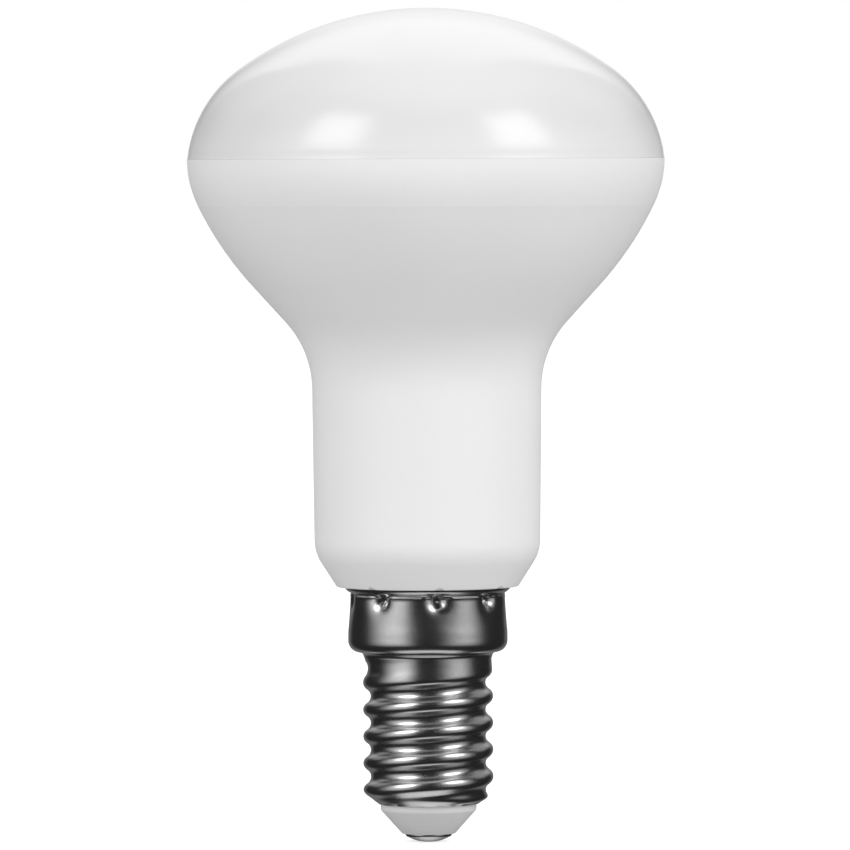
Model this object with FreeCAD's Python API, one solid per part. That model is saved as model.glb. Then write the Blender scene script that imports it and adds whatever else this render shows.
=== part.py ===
import FreeCAD, Part
import math
import os

# A reflector bulb with a small screw cap, upright, in millimetres and degrees.
# The tip of its centre contact is at z = 0 and its axis is the z axis.

# Centre contact, a round-headed tack
contact_radius = 2.45
contact_height = 0.85
contact_flat_radius = 1.1
contact_blend = 3.0
contact_rim = 0.6
contact_rim_blend = 0.25
shank_radius = 0.9
shank_length = 3.6

# Insulator, a moulded plug with a conical nose
nose_margin = 0.35
nose_edge = 0.25
nose_angle = 42.0
nose_height = 3.15
collar_edge = 0.4
insulator_ledge = 0.6
flange_width = 0.4
flange_height = 1.3

# Screw shell, drawn from one sheet
sheet = 0.3
thread_band = 16.1
skirt_height = 6.75
skirt_step = 1.72
skirt_narrowing = 0.17
skirt_corner = 1.0
lip_flare = 0.3
lip_height = 0.7
lip_blend = 0.6
neck_relief = 0.15
neck_collar = 0.08
neck_collar_height = 0.2
neck_blend = 0.45
turn_in_angle = 60.0
turn_in_blend = 0.6
mouth_edge = 0.1

# Rolled thread of the shell, whose crests and roots are tangent arcs of one radius
pitch = 2.822
crest_radius = 6.85
thread_depth = 0.8
thread_start = 6.86
groove_fade = 2.4
plain_band = 0.55
points_per_turn = 24
levels_per_pitch = 14

# Crimps that lock the shell to the body, and the marks their punches leave above them
crimps = 8
crimp_bearing = 7.5
crimp_drop = 1.8
crimp_depth = 0.55
crimp_facets = 6
crimp_half_angle = 40.0
crimp_slant = 10.0
crimp_tool = 1.2
punch_mark_radius = 0.6
punch_mark_drop = 0.3
punch_mark_margin = 0.2

# Moulded body, from its bottom face up to the seam under the dome
foot_margin = 0.66
foot_edge = 0.3
foot_angle = 32.6
foot_slope = 2.86
foot_blend = 4.43
neck_draft = 0.65
neck_length = 15.94
throat_blend = 10.55
flare_angle = 42.2
flare_blend = 35.5
shoulder_angle = 25.9
shoulder_blend = 11.34
body_radius = 25.07
body_rim = 1.25
deck_drop = 1.2

# Opal dome, whose rim has a tongue that sits in a groove of the body
seam_step = 0.08
dome_side_blend = 6.0
dome_side_angle = 11.3
dome_haunch_blend = 13.55
dome_haunch_angle = 54.0
dome_wall = 1.5
tongue_wall = 1.1
tongue_height = 2.6
tongue_shelf = 0.6

# Clearances
seat_gap = 0.05
spigot_gap = 0.1

# Radii and levels that follow from the sizes above
root_radius = crest_radius - thread_depth
thread_arc = (thread_depth ** 2 + (pitch / 2) ** 2) / (4 * thread_depth)
neck_radius = crest_radius - neck_relief
skirt_radius = neck_radius + skirt_step
spigot_radius = root_radius - sheet - spigot_gap
collar_radius = spigot_radius - insulator_ledge
mouth_radius = collar_radius + seat_gap
skirt_top_radius = skirt_radius - skirt_narrowing
lip_radius = skirt_radius + lip_flare
foot_radius = lip_radius + foot_margin
turn_in_slope = math.tan(math.radians(turn_in_angle))
turn_in_rise = sheet / math.sin(math.radians(turn_in_angle))
shell_bottom = contact_height + nose_height
flange_radius = collar_radius + flange_width
flange_bottom = shell_bottom + turn_in_rise + (flange_width - mouth_edge) / turn_in_slope
flange_top = flange_bottom + flange_height
skirt_bottom = shell_bottom + thread_band
collar_bottom = skirt_bottom - neck_blend - neck_collar_height
shell_top = skirt_bottom + skirt_height


def at(radius, height):
    return FreeCAD.Vector(radius, 0, height)


# Turns a closed outline in the xz plane about the axis
def turned(edges):
    face = Part.Face(Part.Wire(Part.sortEdges(edges)[0]))
    return face.revolve(at(0, 0), FreeCAD.Vector(0, 0, 1), 360)


# Straight sides with tangent arcs between them; each corner is its radius, height and blend
def rounded(corners):
    starts = []
    ends = []
    arcs = []
    for i, (radius, height, blend) in enumerate(corners):
        corner = at(radius, height)
        if not blend:
            starts.append(corner)
            ends.append(corner)
            continue
        back = (at(*corners[i - 1][:2]) - corner).normalize()
        ahead = (at(*corners[(i + 1) % len(corners)][:2]) - corner).normalize()
        half = back.getAngle(ahead) / 2
        centre = corner + (back + ahead).normalize() * (blend / math.sin(half))
        middle = centre + (corner - centre).normalize() * blend
        starts.append(corner + back * (blend / math.tan(half)))
        ends.append(corner + ahead * (blend / math.tan(half)))
        arcs.append(Part.Arc(starts[i], middle, ends[i]).toShape())
    sides = [Part.LineSegment(ends[i - 1], start).toShape() for i, start in enumerate(starts)]
    return sides + arcs


# A run of tangent lines and arcs; heading 0 points up and 90 points away from the axis
class Run:
    def __init__(self, radius, height, heading):
        self.end = at(radius, height)
        self.heading = math.radians(heading)
        self.edges = []

    def line_to(self, radius, height):
        start = self.end
        self.end = at(radius, height)
        self.edges.append(Part.LineSegment(start, self.end).toShape())

    def line(self, length):
        ahead = at(length * math.sin(self.heading), length * math.cos(self.heading))
        self.line_to(self.end.x + ahead.x, self.end.z + ahead.z)

    def arc(self, blend, heading):
        start = self.end
        last = math.radians(heading)
        side = math.copysign(blend, last - self.heading)
        centre = start + at(side * math.cos(self.heading), -side * math.sin(self.heading))
        half_way = (self.heading + last) / 2
        middle = centre + at(-side * math.cos(half_way), side * math.sin(half_way))
        self.end = centre + at(-side * math.cos(last), side * math.sin(last))
        self.edges.append(Part.Arc(start, middle, self.end).toShape())
        self.heading = last


def centre_contact():
    shank_top = contact_height + shank_length
    return turned(rounded([
        (0, 0, 0),
        (contact_flat_radius, 0, contact_blend),
        (contact_radius, contact_rim, contact_rim_blend),
        (contact_radius, contact_height, 0),
        (shank_radius, contact_height, 0),
        (shank_radius, shank_top, 0),
        (0, shank_top, 0),
    ]))


def insulator():
    hole_radius = shank_radius + seat_gap
    nose_radius = contact_radius + nose_margin
    cone_height = (collar_radius - nose_radius) / math.tan(math.radians(nose_angle))
    return turned(rounded([
        (hole_radius, contact_height, 0),
        (nose_radius, contact_height, nose_edge),
        (collar_radius, contact_height + cone_height, collar_edge),
        (collar_radius, flange_bottom, 0),
        (flange_radius, flange_bottom, 0),
        (flange_radius, flange_top, 0),
        (hole_radius, flange_top, 0),
    ]))


# Radius of the rolled sheet at a distance along the axis from a crest; inset 0 is its outside
def thread_radius(along, inset):
    crest_arc = thread_arc - inset
    root_arc = thread_arc + inset
    if along < pitch / 4 * crest_arc / thread_arc:
        return crest_radius - thread_arc + math.sqrt(crest_arc ** 2 - along ** 2)
    return root_radius + thread_arc - math.sqrt(root_arc ** 2 - (pitch / 2 - along) ** 2)


# The lesser of two radii, run together over a blend where they are nearly the same
def lesser(first, second, blend):
    near = max(blend - abs(first - second), 0) / blend
    return min(first, second) - near ** 2 * blend / 4


# Radius of the barrel, whose groove fades out above and whose lower edge turns in
def barrel_radius(turn, height, inset):
    faded = 1 - (collar_bottom - plain_band - height) / groove_fade
    groove = (1 + math.cos(math.pi * min(max(faded, 0), 1))) / 2
    above = (height - thread_start - turn * pitch) % pitch
    dip = crest_radius - inset - thread_radius(min(above, pitch - above), inset)
    rolled = neck_radius - inset + (neck_relief - dip) * groove
    turned_in = mouth_radius + mouth_edge + (height - shell_bottom) * turn_in_slope
    turned_in -= inset / math.cos(math.radians(turn_in_angle))
    return lesser(rolled, turned_in, turn_in_blend - inset)


# One level ring of the barrel
def barrel_ring(height, turns, inset):
    points = []
    for turn in turns[:-1]:
        radius = barrel_radius(turn, height, inset)
        angle = 2 * math.pi * turn
        points.append(FreeCAD.Vector(radius * math.cos(angle), radius * math.sin(angle), height))
    ring = Part.BSplineCurve()
    ring.interpolate(Points=points, Parameters=turns, PeriodicFlag=True)
    return ring


# One side of the barrel's sheet, a smooth skin over level rings up the thread
def barrel_skin(inset):
    gaps = math.ceil((collar_bottom - shell_bottom) / pitch * levels_per_pitch)
    levels = [shell_bottom + (collar_bottom - shell_bottom) * i / gaps for i in range(gaps + 1)]
    turns = [i / points_per_turn for i in range(points_per_turn + 1)]
    rings = [barrel_ring(height, turns, inset) for height in levels]
    columns = []
    for poles in zip(*[ring.getPoles() for ring in rings]):
        column = Part.BSplineCurve()
        column.interpolate(Points=list(poles), Parameters=levels)
        columns.append(column)
    ring = rings[0]
    column = columns[0]
    skin = Part.BSplineSurface()
    skin.buildFromPolesMultsKnots(
        [column.getPoles() for column in columns],
        ring.getMultiplicities(), column.getMultiplicities(),
        ring.getKnots(), column.getKnots(),
        True, False, ring.Degree, column.Degree)
    return skin.toShape()


# The barrel as a solid inside one of those sides
def barrel(inset):
    skin = barrel_skin(inset)
    ends = [Part.Face(Part.Wire(edge)).reversed() for edge in skin.Edges if edge.Closed]
    return Part.Solid(Part.Shell([skin] + ends))


# The skirt with its shoulder and lip, as a solid inside one side of its sheet
def skirt(inset):
    neck = neck_radius + neck_collar - inset
    bottom = skirt_bottom + inset
    flare = math.atan((lip_radius - skirt_top_radius) / lip_height)
    return turned(rounded([
        (0, collar_bottom, 0),
        (neck, collar_bottom, 0),
        (neck, bottom, neck_blend),
        (skirt_radius - inset, bottom, skirt_corner - inset),
        (skirt_top_radius - inset, shell_top - lip_height, lip_blend + inset),
        (lip_radius - inset / math.cos(flare), shell_top, 0),
        (0, shell_top, 0),
    ]))


def crimp_directions():
    bearings = [crimp_bearing - 90 + 360 * i / crimps for i in range(crimps)]
    return [FreeCAD.Vector(math.cos(math.radians(b)), math.sin(math.radians(b)), 0) for b in bearings]


# A pointed punch with flat facets, one edge of it down, grown by an amount on each facet
def punch(outward, grown):
    slant = math.radians(crimp_slant)
    half_angle = math.radians(crimp_half_angle)
    length = crimp_tool + grown / math.sin(half_angle)
    reach = length * math.tan(half_angle) / math.cos(math.pi / crimp_facets)
    axis = outward * math.cos(slant) + at(0, math.sin(slant))
    down = outward * math.sin(slant) - at(0, math.cos(slant))
    side = outward.cross(at(0, 1))
    tip = outward * (skirt_top_radius - crimp_depth) + at(0, shell_top - crimp_drop)
    tip -= axis * (length - crimp_tool)
    corners = []
    for i in range(crimp_facets):
        turn = 2 * math.pi * i / crimp_facets
        spoke = down * math.cos(turn) + side * math.sin(turn)
        corners.append(tip + axis * length + spoke * reach)
    facets = [Part.Face(Part.makePolygon(corners[::-1] + corners[-1:]))]
    for i, corner in enumerate(corners):
        facets.append(Part.Face(Part.makePolygon([tip, corners[i - 1], corner, tip])))
    return Part.Solid(Part.Shell(facets))


def punches(grown):
    return [punch(outward, grown) for outward in crimp_directions()]


def screw_shell():
    outside = barrel(0).fuse(skirt(0).cut(punches(0)))
    inside = barrel(sheet).fuse(skirt(sheet).cut(punches(sheet)))
    mouth = Part.makeCylinder(mouth_radius, sheet + turn_in_rise, at(0, shell_bottom - sheet))
    return outside.cut([inside, mouth])


# The side of the body, from its bottom face to the seam
def body_side():
    side = Run(foot_radius, shell_top, 90)
    side.arc(foot_edge, foot_angle)
    side.line(foot_slope)
    side.arc(foot_blend, neck_draft)
    side.line(neck_length)
    side.arc(throat_blend, flare_angle)
    flare_cosine = math.cos(math.radians(flare_angle))
    shoulder_cosine = math.cos(math.radians(shoulder_angle))
    arcs = flare_blend * (shoulder_cosine - flare_cosine) + shoulder_blend * (1 - shoulder_cosine)
    side.line((body_radius - side.end.x - arcs) / math.sin(math.radians(flare_angle)))
    side.arc(flare_blend, shoulder_angle)
    side.arc(shoulder_blend, 0)
    return side


# The plug of the body that fills the screw shell
def spigot():
    wide_radius = skirt_top_radius - sheet - spigot_gap
    shoulder = skirt_bottom + sheet + spigot_gap
    joined = shell_top + foot_edge
    return turned(rounded([
        (0, flange_top, 0),
        (spigot_radius, flange_top, 0),
        (spigot_radius, shoulder, 0),
        (wide_radius, shoulder, skirt_corner - sheet),
        (wide_radius, joined, 0),
        (0, joined, 0),
    ]))


# Half-round marks in the bottom face of the body, one over each crimp
def punch_marks():
    inner = lip_radius + punch_mark_margin
    length = foot_margin + foot_slope
    found = []
    for outward in crimp_directions():
        start = outward * inner + at(0, shell_top - punch_mark_drop)
        found.append(Part.makeCylinder(punch_mark_radius, length, start, outward))
    return found


def housing():
    outline = body_side()
    seam = outline.end.z
    groove_outer = body_radius - body_rim
    groove_inner = groove_outer - tongue_wall - 2 * seat_gap
    groove_floor = seam - tongue_height - seat_gap
    outline.line_to(groove_outer, seam)
    outline.line_to(groove_outer, groove_floor)
    outline.line_to(groove_inner, groove_floor)
    outline.line_to(groove_inner, seam - deck_drop)
    outline.line_to(0, seam - deck_drop)
    outline.line_to(0, shell_top)
    outline.line_to(foot_radius, shell_top)
    body = turned(outline.edges).fuse(spigot())
    return body.cut(punches(sheet) + punch_marks())


# One side of the dome's wall, from the seam to the axis; inset 0 is its outside
def dome_side(inset):
    side = Run(body_radius - seam_step - inset, body_side().end.z, 0)
    side.arc(dome_side_blend - inset, -dome_side_angle)
    side.arc(dome_haunch_blend - inset, -dome_haunch_angle)
    side.arc(side.end.x / math.cos(math.radians(dome_haunch_angle)), -90)
    return side


def diffuser():
    outer = dome_side(0)
    inner = dome_side(dome_wall)
    rim = body_side().end.z
    tongue_outer = body_radius - body_rim - seat_gap
    tongue_inner = tongue_outer - tongue_wall
    foot = Run(body_radius - seam_step, rim, 0)
    foot.line_to(tongue_outer, rim)
    foot.line_to(tongue_outer, rim - tongue_height)
    foot.line_to(tongue_inner, rim - tongue_height)
    foot.line_to(tongue_inner, rim - tongue_shelf)
    foot.line_to(body_radius - seam_step - dome_wall, rim)
    crown = Part.LineSegment(inner.end, outer.end).toShape()
    return turned(outer.edges + inner.edges + foot.edges + [crown])


pieces = {
    "centre_contact": centre_contact(),
    "insulator": insulator(),
    "screw_shell": screw_shell(),
    "housing": housing(),
    "diffuser": diffuser(),
}
os.makedirs("parts", exist_ok=True)
for name, shape in pieces.items():
    shape.exportStep(f"parts/{name}.step")
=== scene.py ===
import bmesh
import bpy
import math
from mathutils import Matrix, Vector


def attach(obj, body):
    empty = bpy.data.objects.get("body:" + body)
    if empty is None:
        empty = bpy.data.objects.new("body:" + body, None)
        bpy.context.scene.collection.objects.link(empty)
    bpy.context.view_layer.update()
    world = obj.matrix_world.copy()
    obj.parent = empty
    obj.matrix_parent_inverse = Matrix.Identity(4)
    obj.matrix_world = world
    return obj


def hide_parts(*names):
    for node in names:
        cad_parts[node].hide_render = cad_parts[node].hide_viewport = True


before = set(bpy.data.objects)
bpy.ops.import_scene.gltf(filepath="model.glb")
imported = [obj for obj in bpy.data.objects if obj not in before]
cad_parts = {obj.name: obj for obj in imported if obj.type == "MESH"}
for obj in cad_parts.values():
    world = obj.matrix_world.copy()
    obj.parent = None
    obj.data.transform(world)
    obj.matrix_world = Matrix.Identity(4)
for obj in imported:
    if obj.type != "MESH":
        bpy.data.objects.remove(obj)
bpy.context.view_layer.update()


# Housing: the flared body, one moulding of satin white plastic.
# Its bottom plug fills the screw shell, whose edge is crimped on to it at eight points,
# and its top rim has a groove that takes the tongue of the dome.

housing_white = (0.83, 0.83, 0.83, 1)
housing_shade = (0.8, 0.8, 0.8, 1)
satin_roughness = (0.4, 0.52)
housing_steps = 192
crease_angle = math.radians(35)
weld_distance = 0.000002
shell_top = 0.02685
seam_height = 0.0718034
body_radius = 0.02507
rim_edge = 0.00003
rim_width = 0.00125
tongue_wall = 0.0011
tongue_height = 0.0026
seat_gap = 0.00005
groove_outer = body_radius - rim_width
crimps = 8
crimp_drop = 0.00125
crimp_bearing = math.radians(7.5)
mark_sides = 32
mark_radius = 0.0006
mark_drop = 0.0003
mark_start = 0.0089
mark_reach = 0.0024
pocket_sides = 24
pocket_tip = 0.0066
pocket_depth = 0.00127
pocket_radius = 0.00165
pocket_drop = 0.0004


# Points along an outline, a span apart at most; each corner is a radius, a height and a blend
def rounded(corners, bend=math.radians(5), span=0.0012):
    points = []
    for i, (radius, height, blend) in enumerate(corners):
        corner = Vector((radius, 0, height))
        if not blend:
            points.append(corner)
            continue
        before = corners[i - 1]
        after = corners[(i + 1) % len(corners)]
        back = (Vector((before[0], 0, before[1])) - corner).normalized()
        ahead = (Vector((after[0], 0, after[1])) - corner).normalized()
        half = back.angle(ahead) / 2
        centre = corner + (back + ahead).normalized() * blend / math.sin(half)
        first = (corner + back * blend / math.tan(half) - centre).normalized()
        last = (corner + ahead * blend / math.tan(half) - centre).normalized()
        turn = math.pi - 2 * half
        pieces = math.ceil(max(turn / bend, turn * blend / span))
        points += [centre + first.slerp(last, j / pieces) * blend for j in range(pieces + 1)]
    filled = points[:1]
    for point in points[1:]:
        start = filled[-1].copy()
        pieces = max(math.ceil((point - start).length / span), 1)
        filled += [start.lerp(point, j / pieces) for j in range(1, pieces + 1)]
    return filled


# Draws an outline by extruding one vertex from point to point
def drawn(name, points):
    bpy.ops.object.select_all(action="DESELECT")
    bpy.ops.mesh.primitive_plane_add(size=0.001, location=(0, 0, 0))
    piece = bpy.context.object
    piece.name = name
    piece.data.name = name
    bpy.ops.object.mode_set(mode="EDIT")
    bpy.ops.mesh.select_all(action="SELECT")
    bpy.ops.mesh.merge(type="CENTER")
    bpy.ops.transform.translate(value=points[0])
    for start, end in zip(points, points[1:]):
        bpy.ops.mesh.extrude_region_move(TRANSFORM_OT_translate={"value": end - start})
    return piece


# Closes the mesh in edit mode, turns its faces outwards and shades all but its sharp edges smooth
def closed(piece):
    bpy.ops.mesh.select_all(action="SELECT")
    bpy.ops.mesh.remove_doubles(threshold=weld_distance)
    bpy.ops.mesh.normals_make_consistent(inside=False)
    if bmesh.from_edit_mesh(piece.data).calc_volume(signed=True) < 0:
        bpy.ops.mesh.flip_normals()
    bpy.ops.object.mode_set(mode="OBJECT")
    bpy.ops.object.shade_smooth_by_angle(angle=crease_angle)


# Spins a drawn outline about the bulb's axis
def turned(name, points, steps):
    piece = drawn(name, points)
    bpy.ops.mesh.select_all(action="SELECT")
    bpy.ops.mesh.spin(steps=steps, angle=2 * math.pi, center=(0, 0, 0), axis=(0, 0, 1))
    closed(piece)
    return piece


plug_radius = 0.00565
plug_wide_radius = 0.0078
plug_bottom = 0.0058196
plug_shoulder = 0.0205
foot_radius = 0.0095442
deck_drop = 0.0012
deck_height = seam_height - deck_drop
groove_floor = seam_height - tongue_height - seat_gap
groove_inner = groove_outer - tongue_wall - 2 * seat_gap
housing = turned("flared_housing", rounded([
    (0, plug_bottom, 0),
    (plug_radius, plug_bottom, 0),
    (plug_radius, plug_shoulder, 0),
    (plug_wide_radius, plug_shoulder, 0.0007),
    (plug_wide_radius, shell_top, 0),
    (foot_radius, shell_top, 0.0003),
    (0.0118572, 0.0304664, 0.00443),
    (0.0120981, 0.0517158, 0.01055),
    (0.0217095, 0.0622760, 0.0355),
    (body_radius, 0.0691960, 0.01134),
    (body_radius, seam_height, rim_edge),
    (groove_outer, seam_height, 0.0001),
    (groove_outer, groove_floor, 0),
    (groove_inner, groove_floor, 0),
    (groove_inner, deck_height, 0),
    (0, deck_height, 0),
]), housing_steps)


# Cuts the shape of a tool, which is the active object, out of a piece
def cut_out(piece):
    tool = bpy.context.object
    bpy.ops.object.select_all(action="DESELECT")
    bpy.context.view_layer.objects.active = piece
    cut = piece.modifiers.new("Cut", "BOOLEAN")
    cut.operation = "DIFFERENCE"
    cut.solver = "MANIFOLD"
    cut.object = tool
    bpy.ops.object.modifier_apply(modifier=cut.name)
    bpy.data.objects.remove(tool)


# Each crimping punch leaves a half-round mark in the body's bottom face and a pocket in the plug
crimp_height = shell_top - crimp_drop
for i in range(crimps):
    bearing = crimp_bearing + 2 * math.pi * i / crimps
    outward = Vector((math.sin(bearing), -math.cos(bearing), 0))
    facing = outward.to_track_quat("Z", "Y").to_euler()
    mark_level = Vector((0, 0, shell_top - mark_drop))
    mark_place = outward * (mark_start + mark_reach / 2) + mark_level
    pocket_level = Vector((0, 0, crimp_height - pocket_drop))
    pocket_place = outward * (pocket_tip + pocket_depth / 2) + pocket_level
    bpy.ops.object.select_all(action="DESELECT")
    bpy.ops.mesh.primitive_cylinder_add(
        vertices=mark_sides, radius=mark_radius, depth=mark_reach,
        location=mark_place, rotation=facing,
    )
    cut_out(housing)
    bpy.ops.object.select_all(action="DESELECT")
    bpy.ops.mesh.primitive_cone_add(
        vertices=pocket_sides, radius1=0, radius2=pocket_radius, depth=pocket_depth,
        location=pocket_place, rotation=facing,
    )
    cut_out(housing)
bpy.context.view_layer.objects.active = housing
housing.select_set(True)
bpy.ops.object.shade_smooth_by_angle(angle=crease_angle)


# Adds a shader node, with a value or a link for each socket that is named
def node(tree, kind, sockets, **settings):
    made = tree.nodes.new("ShaderNode" + kind)
    for name, value in settings.items():
        setattr(made, name, value)
    for name, value in sockets.items():
        if isinstance(value, bpy.types.NodeSocket):
            tree.links.new(value, made.inputs[name])
        else:
            made.inputs[name].default_value = value
    return made


# A fine grain over a gentle waviness, both in metres, as moulded and plated surfaces have them
relief = bpy.data.node_groups.new("surface_relief", "ShaderNodeTree")
for name in ("Grain Size", "Grain Height", "Wave Size", "Wave Height"):
    relief.interface.new_socket(name=name, in_out="INPUT", socket_type="NodeSocketFloat")
relief.interface.new_socket(name="Grain", in_out="OUTPUT", socket_type="NodeSocketFloat")
relief.interface.new_socket(name="Wave", in_out="OUTPUT", socket_type="NodeSocketFloat")
relief.interface.new_socket(name="Normal", in_out="OUTPUT", socket_type="NodeSocketVector")
sizes = relief.nodes.new("NodeGroupInput").outputs
place = node(relief, "TexCoord", {}).outputs["Object"]
layers = {}
bumps = {}
for layer, detail in (("Wave", 0), ("Grain", 2)):
    finer = node(relief, "Math", {0: 1, 1: sizes[layer + " Size"]}, operation="DIVIDE").outputs[0]
    noise = node(relief, "TexNoise", {"Vector": place, "Scale": finer, "Detail": detail})
    layers[layer] = noise.outputs["Fac"]
    bump = {"Height": layers[layer], "Distance": sizes[layer + " Height"], **bumps}
    bumps["Normal"] = node(relief, "Bump", bump).outputs["Normal"]
found = relief.nodes.new("NodeGroupOutput").inputs
relief.links.new(layers["Grain"], found["Grain"])
relief.links.new(layers["Wave"], found["Wave"])
relief.links.new(bumps["Normal"], found["Normal"])


# Places the relief in a material, with its sizes and heights
def on_relief(tree, grain_size, grain_height, wave_size, wave_height):
    placed = tree.nodes.new("ShaderNodeGroup")
    placed.node_tree = relief
    placed.inputs["Grain Size"].default_value = grain_size
    placed.inputs["Grain Height"].default_value = grain_height
    placed.inputs["Wave Size"].default_value = wave_size
    placed.inputs["Wave Height"].default_value = wave_height
    return placed.outputs


# Turns a mask into a colour or a roughness between two ends
def between(tree, mask, low, high, kind="RGBA"):
    mix = tree.nodes.new("ShaderNodeMix")
    mix.data_type = kind
    tree.links.new(mask, mix.inputs["Factor"])
    ends = [socket for socket in mix.inputs if socket.name in "AB" and socket.enabled]
    ends[0].default_value = low
    ends[1].default_value = high
    return [socket for socket in mix.outputs if socket.enabled][0]


# Starts a new finish and gives it to a piece
def finish(piece, name):
    material = bpy.data.materials.new(name)
    material.use_nodes = True
    piece.data.materials.clear()
    piece.data.materials.append(material)
    return material.node_tree, material.node_tree.nodes["Principled BSDF"].inputs


# Fine-grained satin white, a shade duller where the plastic flowed
tree, shader = finish(housing, "satin_white")
surface = on_relief(
    tree, grain_size=0.00025, grain_height=0.000006, wave_size=0.011, wave_height=0.00002)
tree.links.new(between(tree, surface["Wave"], housing_white, housing_shade), shader["Base Color"])
tree.links.new(between(tree, surface["Grain"], *satin_roughness, "FLOAT"), shader["Roughness"])
tree.links.new(surface["Normal"], shader["Normal"])

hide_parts("housing")
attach(housing, "root")


# Insulator: a moulded plug of matte pale plastic with a conical nose.
# It sits in the turned-in end of the shell, and the contact's shank is pressed through it.

nose_grey = (0.74, 0.74, 0.74, 1)
nose_speck = (0.69, 0.69, 0.69, 1)
nose_roughness = (0.55, 0.7)
nose_steps = 128
nose_tip_radius = 0.0028
nose_base = 0.0033489
contact_height = 0.00085
shank_radius = 0.0009
collar_radius = 0.00505
flange_radius = 0.00545
flange_bottom = 0.0045196
flange_top = plug_bottom
hole_radius = shank_radius + seat_gap
insulator = turned("insulator_nose", rounded([
    (hole_radius, contact_height, 0),
    (nose_tip_radius, contact_height, 0.00025),
    (collar_radius, nose_base, 0.0004),
    (collar_radius, flange_bottom, 0),
    (flange_radius, flange_bottom, 0),
    (flange_radius, flange_top, 0),
    (hole_radius, flange_top, 0),
    (hole_radius, contact_height, 0),
]), nose_steps)

tree, shader = finish(insulator, "matte_grey")
surface = on_relief(
    tree, grain_size=0.0002, grain_height=0.000008, wave_size=0.004, wave_height=0.00002)
tree.links.new(between(tree, surface["Grain"], nose_speck, nose_grey), shader["Base Color"])
tree.links.new(between(tree, surface["Grain"], *nose_roughness, "FLOAT"), shader["Roughness"])
tree.links.new(surface["Normal"], shader["Normal"])

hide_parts("insulator")
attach(insulator, "root")


# Centre contact: a round-headed tack of nickel-plated brass.
# Its shank goes up through the insulator, and its head makes the lower terminal.

nickel_light = (0.76, 0.76, 0.76, 1)
nickel_dark = (0.6, 0.6, 0.6, 1)
nickel_roughness = (0.16, 0.3)
contact_steps = 96
line_depth = 0.0000006
line_stretch = 20
contact_radius = 0.00245
contact_rim = 0.0006
tip_flat_radius = 0.0011
shank_top = 0.00445
contact = turned("contact_button", rounded([
    (0, 0, 0),
    (tip_flat_radius, 0, 0.003),
    (contact_radius, contact_rim, 0.00025),
    (contact_radius, contact_height, 0),
    (shank_radius, contact_height, 0),
    (shank_radius, shank_top, 0),
    (0, shank_top, 0),
]), contact_steps)


# Bright nickel plate: drawing lines round the axis, and specks and soft waves in the plate
def nickel(piece, name, line_size):
    tree, shader = finish(piece, name)
    surface = on_relief(
        tree, grain_size=0.00016, grain_height=0.0000034, wave_size=0.0022, wave_height=0.0000055)
    place = node(tree, "TexCoord", {}).outputs["Object"]
    drawn_out = {"Vector": place, "Scale": (1 / line_stretch, 1 / line_stretch, 1)}
    stretched = node(tree, "Mapping", drawn_out).outputs[0]
    ruling = {"Vector": stretched, "Scale": 1 / line_size, "Detail": 3}
    lines = node(tree, "TexNoise", ruling).outputs["Fac"]
    tree.links.new(between(tree, surface["Grain"], nickel_dark, nickel_light), shader["Base Color"])
    tree.links.new(between(tree, lines, *nickel_roughness, "FLOAT"), shader["Roughness"])
    ruled = {"Height": lines, "Distance": line_depth, "Normal": surface["Normal"]}
    tree.links.new(node(tree, "Bump", ruled).outputs["Normal"], shader["Normal"])
    shader["Metallic"].default_value = 1


nickel(contact, "turned_nickel", 0.0001)

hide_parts("centre_contact")
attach(contact, "root")


# Diffuser: the glossy opal dome, moulded thin, with a tongue round its rim.
# The tongue is glued into the groove of the housing, and the rim meets the housing at the seam.
# Near the rim its colour is painted lighter, as painted light for the white housing's light showing
# through the thin plastic.

seam_step = 0.00008
dome_radius = body_radius - seam_step
dome_wall = 0.0015
dome_side_blend = 0.006
dome_side_angle = math.radians(11.3)
dome_haunch_blend = 0.01355
dome_haunch_angle = math.radians(54)
dome_rim_edge = 0.00001
dome_rim_flare = 0.00007
dome_rim_height = 0.00035
opal_white = (0.66, 0.66, 0.66, 1)
opal_painted_rim_light = (0.75, 0.75, 0.75, 1)
opal_roughness = (0.12, 0.18)
dome_steps = 192
tongue_root = 0.0006
painted_rim_light_height = 0.0046
painted_rim_light_share = 0.8


# One side of the dome's wall, from the seam to the axis, as three tangent arcs
def dome_side(inset, bend=math.radians(3)):
    radius = dome_radius - inset
    height = seam_height
    side = [Vector((radius, 0, height))]
    heading = 0
    for blend, last in ((dome_side_blend, dome_side_angle), (dome_haunch_blend, dome_haunch_angle)):
        blend -= inset
        pieces = math.ceil((last - heading) / bend)
        for j in range(1, pieces + 1):
            angle = heading + (last - heading) * j / pieces
            across = radius - blend * (math.cos(heading) - math.cos(angle))
            up = height + blend * (math.sin(angle) - math.sin(heading))
            side.append(Vector((across, 0, up)))
        radius = side[-1].x
        height = side[-1].z
        heading = last
    crown = radius / math.cos(heading)
    pieces = math.ceil((math.pi / 2 - heading) / bend)
    for j in range(1, pieces + 1):
        angle = heading + (math.pi / 2 - heading) * j / pieces
        up = height + crown * (math.sin(angle) - math.sin(heading))
        side.append(Vector((crown * math.cos(angle), 0, up)))
    side[-1].x = 0
    return side


tongue_outer = groove_outer - seat_gap
tongue_inner = tongue_outer - tongue_wall
tongue = [
    Vector((tongue_inner, 0, seam_height - tongue_root)),
    Vector((tongue_inner, 0, seam_height - tongue_height)),
    Vector((tongue_outer, 0, seam_height - tongue_height)),
    Vector((tongue_outer, 0, seam_height)),
    Vector((dome_radius, 0, seam_height)),
]
flared_rim = [
    Vector((dome_radius + dome_rim_flare, 0, seam_height + dome_rim_edge)),
    Vector((dome_radius, 0, seam_height + dome_rim_height)),
]
inner_side = dome_side(dome_wall)[::-1]
outer_side = dome_side(0)[2:]
dome = turned("opal_dome", inner_side + tongue + flared_rim + outer_side, dome_steps)


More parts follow.
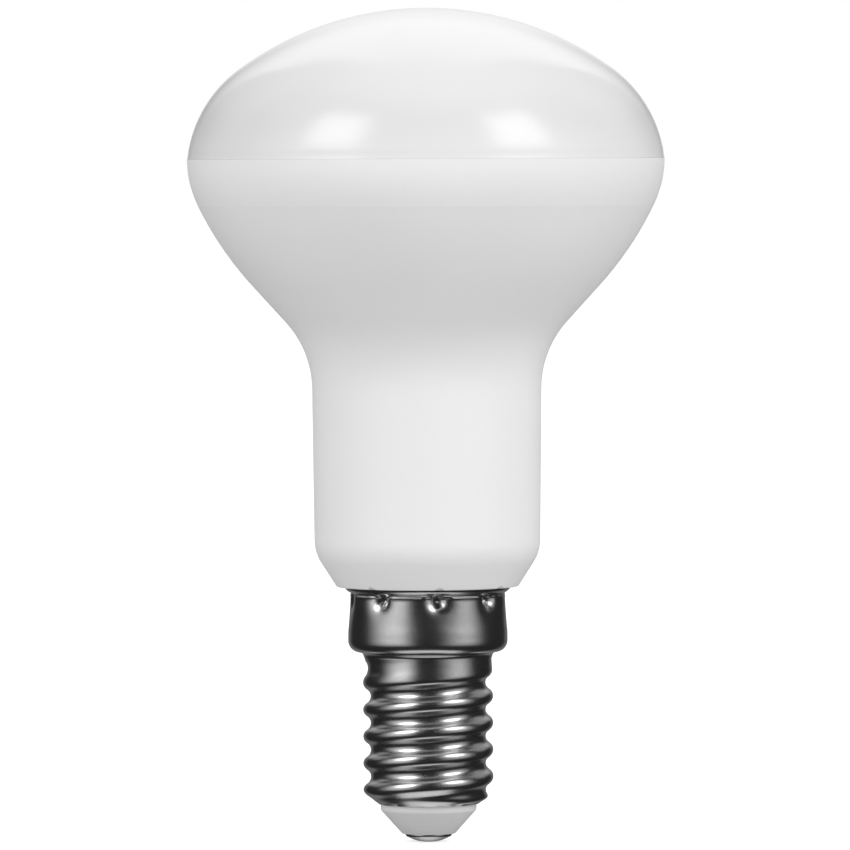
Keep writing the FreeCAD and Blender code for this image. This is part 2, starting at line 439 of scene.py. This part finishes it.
# How far a value has passed from one level to another, from 0 to 1
def passed(tree, value, start, end):
    ramp = node(tree, "MapRange", {"Value": value, "From Min": start, "From Max": end})
    ramp.interpolation_type = "SMOOTHSTEP"
    return ramp.outputs["Result"]


# Works out one figure from up to three others
def figure(tree, operation, *values):
    return node(tree, "Math", dict(enumerate(values)), operation=operation).outputs[0]


# Glossy milky plastic, its colour painted lighter towards its rim as painted light
tree, shader = finish(dome, "glossy_opal")
surface = on_relief(
    tree, grain_size=0.0006, grain_height=0.0000015, wave_size=0.009, wave_height=0.000012)
place = node(tree, "TexCoord", {}).outputs["Object"]
level = node(tree, "SeparateXYZ", {"Vector": place}).outputs["Z"]
# Painted light: a lighter band painted into the colour, fading from the seam upwards
painted_rim_light_mask = passed(tree, level, seam_height + painted_rim_light_height, seam_height)
waved = figure(tree, "MULTIPLY", surface["Wave"], 1 - painted_rim_light_share)
wave_and_painted_rim_light = figure(tree, "MULTIPLY_ADD", painted_rim_light_mask, painted_rim_light_share, waved)
tree.links.new(between(tree, wave_and_painted_rim_light, opal_white, opal_painted_rim_light), shader["Base Color"])
tree.links.new(between(tree, surface["Grain"], *opal_roughness, "FLOAT"), shader["Roughness"])
tree.links.new(surface["Normal"], shader["Normal"])

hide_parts("diffuser")
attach(dome, "root")


# Screw shell: one cup drawn from thin sheet and nickel-plated, with a rolled right-hand thread.
# Its skirt grips the foot of the housing, and its lower edge is turned in round the insulator.

shell_columns = 240
rows_per_pitch = 14
shell_crease = math.radians(50)
sheet = 0.0003
pitch = 0.002822
crest_radius = 0.00685
thread_depth = 0.0008
thread_start = 0.00686
groove_fade = 0.00142
plain_band = 0.00055
neck_relief = 0.00015
neck_radius = crest_radius - neck_relief
neck_collar = neck_radius + 0.00008
shell_bottom = 0.004
collar_bottom = 0.01945
skirt_bottom = 0.01998
skirt_corner = 0.0012
skirt_radius = 0.0084
lip_radius = 0.00872
ring_height = 0.02146
ring_depth = 0.000004
dish_depth = 0.0009
dish_width = 0.00055
dish_core = 0.00045
punch_sides = 6
pit_depth = 0.0001
pit_width = 0.00046
pit_height = 0.00066
lip_hold_height = 0.0009
lip_hold_fade = 0.0006
finer_width = 0.0012
finer_drop = 0.0015
finer_cuts = 2
dent_floor = skirt_bottom + 0.001
cut_tolerance = 0.0000001
level_tolerance = 0.000001
turn_in_angle = math.radians(60)
turn_in_blend = 0.0009
mouth_radius = 0.0051
thread_arc = (thread_depth ** 2 + (pitch / 2) ** 2) / (4 * thread_depth)


# Rises smoothly from 0 to 1
def smooth_step(part):
    part = min(max(part, 0), 1)
    return part * part * (3 - 2 * part)


# Radius of the barrel, whose groove runs out along its last half turn and whose lower edge turns in
def barrel_radius(turn, height):
    above = (height - thread_start - turn * pitch) % pitch
    root = height + pitch / 2 - above
    groove = smooth_step((collar_bottom - plain_band - root) / groove_fade)
    widened = smooth_step((collar_bottom - height) / (2 * groove_fade))
    along = min(above, pitch - above)
    if along < pitch / 4:
        dip = thread_arc - math.sqrt(thread_arc ** 2 - along ** 2)
    else:
        dip = thread_depth - thread_arc + math.sqrt(thread_arc ** 2 - (pitch / 2 - along) ** 2)
    rolled = neck_radius + neck_relief * widened - dip * groove
    edge = mouth_radius + sheet * math.cos(turn_in_angle)
    turned_in = edge + (height - shell_bottom) * math.tan(turn_in_angle)
    near = max(turn_in_blend - abs(rolled - turned_in), 0) / turn_in_blend
    return min(rolled, turned_in) - near ** 2 * turn_in_blend / 4


# The rows of the barrel climb with the thread: one pitch is drawn and screwed up the axis
row = pitch / rows_per_pitch
start = shell_bottom - pitch
one_pitch = [Vector((neck_radius, 0, start + row * i)) for i in range(rows_per_pitch + 1)]
shell = drawn("threaded_shell", one_pitch)
bpy.ops.object.mode_set(mode="OBJECT")
screw = shell.modifiers.new("Thread", "SCREW")
screw.axis = "Z"
screw.screw_offset = pitch
screw.iterations = math.ceil((collar_bottom - start) / pitch)
screw.steps = shell_columns
screw.render_steps = shell_columns
screw.use_merge_vertices = True
screw.merge_threshold = weld_distance
bpy.ops.object.modifier_apply(modifier=screw.name)

# Each vertex goes to its place on the thread, and both ends of the barrel are cut level
for vertex in shell.data.vertices:
    turn = math.atan2(vertex.co.y, vertex.co.x) / (2 * math.pi)
    rolled = barrel_radius(turn, max(vertex.co.z, shell_bottom))
    scale = rolled / math.hypot(vertex.co.x, vertex.co.y)
    vertex.co.x *= scale
    vertex.co.y *= scale
bpy.ops.object.mode_set(mode="EDIT")
bpy.ops.mesh.select_all(action="SELECT")
bpy.ops.mesh.remove_doubles(threshold=weld_distance)
for level, cleared in ((shell_bottom, "clear_inner"), (collar_bottom, "clear_outer")):
    bpy.ops.mesh.select_all(action="SELECT")
    bpy.ops.mesh.bisect(
        plane_co=(0, 0, level), plane_no=(0, 0, 1), threshold=cut_tolerance, **{cleared: True})


# Selects the edges of a piece in edit mode whose ends both pass a test
def select_edges(piece, test):
    bpy.ops.mesh.select_mode(type="EDGE")
    bpy.ops.mesh.select_all(action="DESELECT")
    mesh = bmesh.from_edit_mesh(piece.data)
    for edge in mesh.edges:
        edge.select_set(all(test(vertex.co) for vertex in edge.verts))
    mesh.select_flush(True)
    bmesh.update_edit_mesh(piece.data)


# The skirt is raised ring by ring from the top edge of the barrel
select_edges(shell, lambda place: abs(place.z - collar_bottom) < level_tolerance)
skirt_outline = rounded([
    (neck_collar, collar_bottom, 0),
    (neck_collar, skirt_bottom, 0.0005),
    (0.00836, skirt_bottom, skirt_corner),
    (skirt_radius, ring_height, 0),
    (skirt_radius - ring_depth, ring_height + 12 * ring_depth, 0),
    (0.00839, 0.0222, 0.003),
    (0.0083, 0.0232, 0.01),
    (0.00823, 0.02586, 0),
    (0.00827, 0.02593, 0),
    (0.00817, 0.02613, 0.00006),
    (0.00822, 0.02624, 0),
    (0.00838, 0.02634, 0),
    (0.0086, 0.02655, 0),
    (0.0087, 0.02672, 0),
    (lip_radius, shell_top, 0),
], bend=math.radians(7), span=0.00035)
ring = Vector((neck_radius, 0, collar_bottom))
for point in skirt_outline:
    bpy.ops.mesh.extrude_region_move(TRANSFORM_OT_translate={"value": (0, 0, point.z - ring.z)})
    scale = point.x / ring.x
    bpy.ops.transform.resize(value=(scale, scale, 1), center_override=(0, 0, 0))
    ring = point


# Where a place on the skirt lies from the nearest crimp: across, then up
def from_crimp(place):
    bearing = math.atan2(place.x, -place.y)
    step = 2 * math.pi / crimps
    across = (bearing - crimp_bearing + step / 2) % step - step / 2
    return across * math.hypot(place.x, place.y), place.z - crimp_height


# Depth of a crimp: a dish with the pit of the punch's six-sided tip, held back by the lip above it
def crimp_dent(across, up):
    away = math.hypot(across, up, dish_core) - dish_core
    dish = dish_depth * math.exp(-away / dish_width)
    reach = 0
    for i in range(punch_sides):
        spoke = 2 * math.pi * i / punch_sides
        side = math.cos(spoke) * across / pit_width + math.sin(spoke) * up / pit_height
        reach = max(reach, side)
    held = smooth_step((lip_hold_height - up) / lip_hold_fade)
    return (dish + pit_depth * max(1 - reach, 0)) * held


# The skirt is divided more finely round the crimps and then pressed in
bpy.ops.mesh.select_mode(type="FACE")
bpy.ops.mesh.select_all(action="DESELECT")
mesh = bmesh.from_edit_mesh(shell.data)
for face in mesh.faces:
    across, up = from_crimp(face.calc_center_median())
    face.select_set(abs(across) < finer_width and -finer_drop < up < lip_hold_height)
bmesh.update_edit_mesh(shell.data)
bpy.ops.mesh.subdivide(number_cuts=finer_cuts)
bpy.ops.object.mode_set(mode="OBJECT")
for vertex in shell.data.vertices:
    if vertex.co.z > dent_floor:
        scale = 1 - crimp_dent(*from_crimp(vertex.co)) / math.hypot(vertex.co.x, vertex.co.y)
        vertex.co.x *= scale
        vertex.co.y *= scale

# The open sheet's faces are turned outwards before it gets its thickness
bpy.ops.object.mode_set(mode="EDIT")
bpy.ops.mesh.select_all(action="SELECT")
bpy.ops.mesh.normals_make_consistent(inside=False)
mesh = bmesh.from_edit_mesh(shell.data)
inmost = Vector((0, 0, collar_bottom))
if sum(face.normal.dot(face.calc_center_median() - inmost) for face in mesh.faces) < 0:
    bpy.ops.mesh.flip_normals()
bpy.ops.object.mode_set(mode="OBJECT")
wall = shell.modifiers.new("Sheet", "SOLIDIFY")
wall.thickness = sheet
wall.offset = -1
wall.use_even_offset = True
bpy.ops.object.modifier_apply(modifier=wall.name)
bpy.ops.object.shade_smooth_by_angle(angle=shell_crease)

nickel(shell, "bright_nickel", 0.00012)

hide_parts("screw_shell")
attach(shell, "root")


# Studio: a pale floor in a white room, soft lamps in front, and a tent of painted reflections that
# only gloss sees.
# The tent glows with painted light, seen only in reflections, where the lamps and their panels
# stand, and where white paper hangs at the back.

lit_white = 0.88
floor_pale = (0.56, 0.56, 0.56, 1)
floor_glow = 0.7
floor_size = 40
tent_radius = 1.6
painted_reflection_dark = 0.022
middle = Vector((0, 0, 0.05))


# A light that shows to the camera, and behind glass, brighter than it lights the object
def shown_or_lit(tree, output, lit, shown):
    path = node(tree, "LightPath", {}).outputs
    seen = path["Is Camera Ray"]
    for ray in ("Is Glossy Ray", "Is Transmission Ray"):
        seen = node(tree, "Math", {0: seen, 1: path[ray]}, operation="MAXIMUM").outputs[0]
    mix = node(tree, "MixShader", {"Fac": seen, 1: lit, 2: shown})
    tree.links.new(mix.outputs[0], output)


world = bpy.data.worlds.new("white_room")
bpy.context.scene.world = world
world.use_nodes = True
tree = world.node_tree
soft = tree.nodes["Background"]
soft.inputs["Color"].default_value = (1, 1, 1, 1)
soft.inputs["Strength"].default_value = lit_white
white = node(tree, "Background", {"Color": (1, 1, 1, 1), "Strength": 1}).outputs[0]
shown_or_lit(tree, tree.nodes["World Output"].inputs["Surface"], soft.outputs[0], white)

bpy.ops.object.select_all(action="DESELECT")
bpy.ops.mesh.primitive_plane_add(size=floor_size, location=(0, 0, 0))
floor = bpy.context.object
floor.name = "studio_floor"
# The floor shows in no reflection; a light patch painted low on the tent stands in for its
# reflection
floor.visible_glossy = False
tree, shader = finish(floor, "floor_paper")
matte = node(tree, "BsdfDiffuse", {"Color": floor_pale}).outputs[0]
glow = node(tree, "Emission", {"Strength": floor_glow}).outputs[0]
bright = node(tree, "AddShader", {0: matte, 1: glow}).outputs[0]
shown_or_lit(tree, tree.nodes["Material Output"].inputs["Surface"], matte, bright)


bpy.ops.object.select_all(action="DESELECT")
bpy.ops.mesh.primitive_uv_sphere_add(
    segments=96, ring_count=48, radius=tent_radius, location=(0, 0, 0))
tent = bpy.context.object
tent.name = "painted_reflection_tent"
tent.visible_camera = False
tent.visible_diffuse = False
tent.visible_transmission = False
tent.visible_shadow = False

# Where a place on the tent lies: its bearing from the front and its elevation, in degrees
tree, shader = finish(tent, "painted_reflection_cloth")
where = node(tree, "SeparateXYZ", {"Vector": node(tree, "TexCoord", {}).outputs["Object"]}).outputs
ahead = figure(tree, "MULTIPLY", where["Y"], -1)
bearing = figure(tree, "MULTIPLY", figure(tree, "ARCTAN2", where["X"], ahead), math.degrees(1))
height = figure(tree, "DIVIDE", where["Z"], tent_radius)
rise = figure(tree, "MULTIPLY", figure(tree, "ARCSINE", height), math.degrees(1))
aside = figure(tree, "ABSOLUTE", where["X"])


# A patch of painted light on the tent, seen only in reflections, whose edges each fade between two
# angles
def patch(tree, across, up, strength):
    lit = strength
    edges = ((bearing, across[:2]), (bearing, across[2:]), (rise, up[:2]), (rise, up[2:]))
    for angle, fades in edges:
        lit = figure(tree, "MULTIPLY", passed(tree, angle, *fades), lit)
    return lit


# How far a place lies towards the back wall, in a strip that is narrower with a larger figure
def to_back(tree, narrowing):
    return figure(tree, "SUBTRACT", where["Y"], figure(tree, "MULTIPLY", aside, narrowing))


# Areas of the back wall painted on the tent, seen only in reflections: white paper, the dim wall
# round it, the walls beside it and its middle
paper = passed(tree, to_back(tree, 1.8), -0.05, 0.15)
dim_wall = passed(tree, to_back(tree, 1.8), -0.6, 0.4)
side_walls = figure(tree, "SUBTRACT", passed(tree, to_back(tree, 0.2), -0.1, 0.5), paper)
middle_strip = passed(tree, to_back(tree, 4), 0.1, 0.9)

# Just above the horizon the painted panels' inner edges lean apart, so their painted reflection
# narrows up the skirt
lean = figure(tree, "MULTIPLY", passed(tree, rise, 0.5, 5), passed(tree, rise, 8, 4))
left_edge = passed(tree, figure(tree, "MULTIPLY_ADD", lean, 8, bearing), -14, -44)
right_edge = passed(tree, figure(tree, "MULTIPLY_ADD", lean, -18, bearing), 10, 52)

# What each painted reflection shows on, between which bearings and elevations in degrees, and how
# strongly
all_round = (-400, -399, 400, 399)
all_heights = (-100, -99, 101, 100)
painted_reflections = {
    "left panel": (left_edge, (-104, -54, 400, 399), (-30, 6, 58, 40), 0.8),
    "right panel": (right_edge, (-400, -399, 94, 58), (-30, 10, 58, 40), 0.66),
    # The lamps' highlights are painted on the tent as bright patches
    "left lamp, painted highlight": (1, (-72, -56, -26, -42), (14, 32, 58, 42), 3.8),
    "right lamp, painted highlight": (1, (28, 44, 72, 58), (14, 32, 58, 42), 3.8),
    "table": (1, all_round, (-100, -99, -59, -69), 0.72),
    "ceiling": (1, all_round, (50, 70, 101, 100), 0.36),
    "high paper": (paper, all_round, (10, 32, 76, 58), 0.68),
    "lamp light on high paper": (paper, all_round, (24, 40, 70, 50), 0.45),
    "low paper": (paper, all_round, (-62, -56, -32, -46), 0.6),
    "paper behind the cap": (middle_strip, all_round, (-12, -3, 36, 12), 0.62),
    "dim wall": (dim_wall, all_round, all_heights, 0.16),
    "side walls": (side_walls, all_round, (14, 30, 64, 50), 0.28),
}
total = painted_reflection_dark
for shown_on, across, up, strength in painted_reflections.values():
    lit = figure(tree, "MULTIPLY", shown_on, patch(tree, across, up, strength))
    total = figure(tree, "ADD", lit, total)
# The painted reflections glow as emission that only gloss sees and that lights nothing
cloth = node(tree, "Emission", {"Strength": total}).outputs[0]
tree.links.new(cloth, tree.nodes["Material Output"].inputs["Surface"])


# A square lamp at a bearing from the front, an elevation and a distance, facing the bulb
def soft_box(name, bearing, elevation, distance, size, energy):
    bearing = math.radians(bearing)
    elevation = math.radians(elevation)
    ahead = Vector((
        math.cos(elevation) * math.sin(bearing),
        -math.cos(elevation) * math.cos(bearing),
        math.sin(elevation),
    ))
    bpy.ops.object.light_add(type="AREA", location=middle + ahead * distance)
    lamp = bpy.context.object
    lamp.name = name
    lamp.rotation_euler = ahead.to_track_quat("Z", "Y").to_euler()
    lamp.data.size = size
    lamp.data.energy = energy
    # The lamp shows in no reflection; its highlight is painted on the tent
    lamp.visible_glossy = False


soft_box("left_box", bearing=-47, elevation=36, distance=0.9, size=0.38, energy=1.6)
soft_box("right_box", bearing=49, elevation=36, distance=0.9, size=0.38, energy=2.4)
soft_box("top_box", bearing=0, elevation=85, distance=1.0, size=0.9, energy=0.6)
soft_box("front_fill", bearing=40, elevation=0, distance=1.3, size=0.9, energy=1.05)

# The camera stands level with the seam, looks a little down, and leans a quarter of a degree
lens = 377
camera_aside = -0.00008
camera_distance = 0.935
camera_height = seam_height + 0.0001
look_down = math.radians(1.72)
roll = math.radians(0.25)
bpy.ops.object.camera_add(location=(camera_aside, -camera_distance, camera_height))
camera = bpy.context.object
camera.rotation_euler = (math.pi / 2 - look_down, roll, 0)
camera.data.lens = lens
bpy.context.scene.camera = camera
bpy.context.scene.view_settings.view_transform = "Standard"
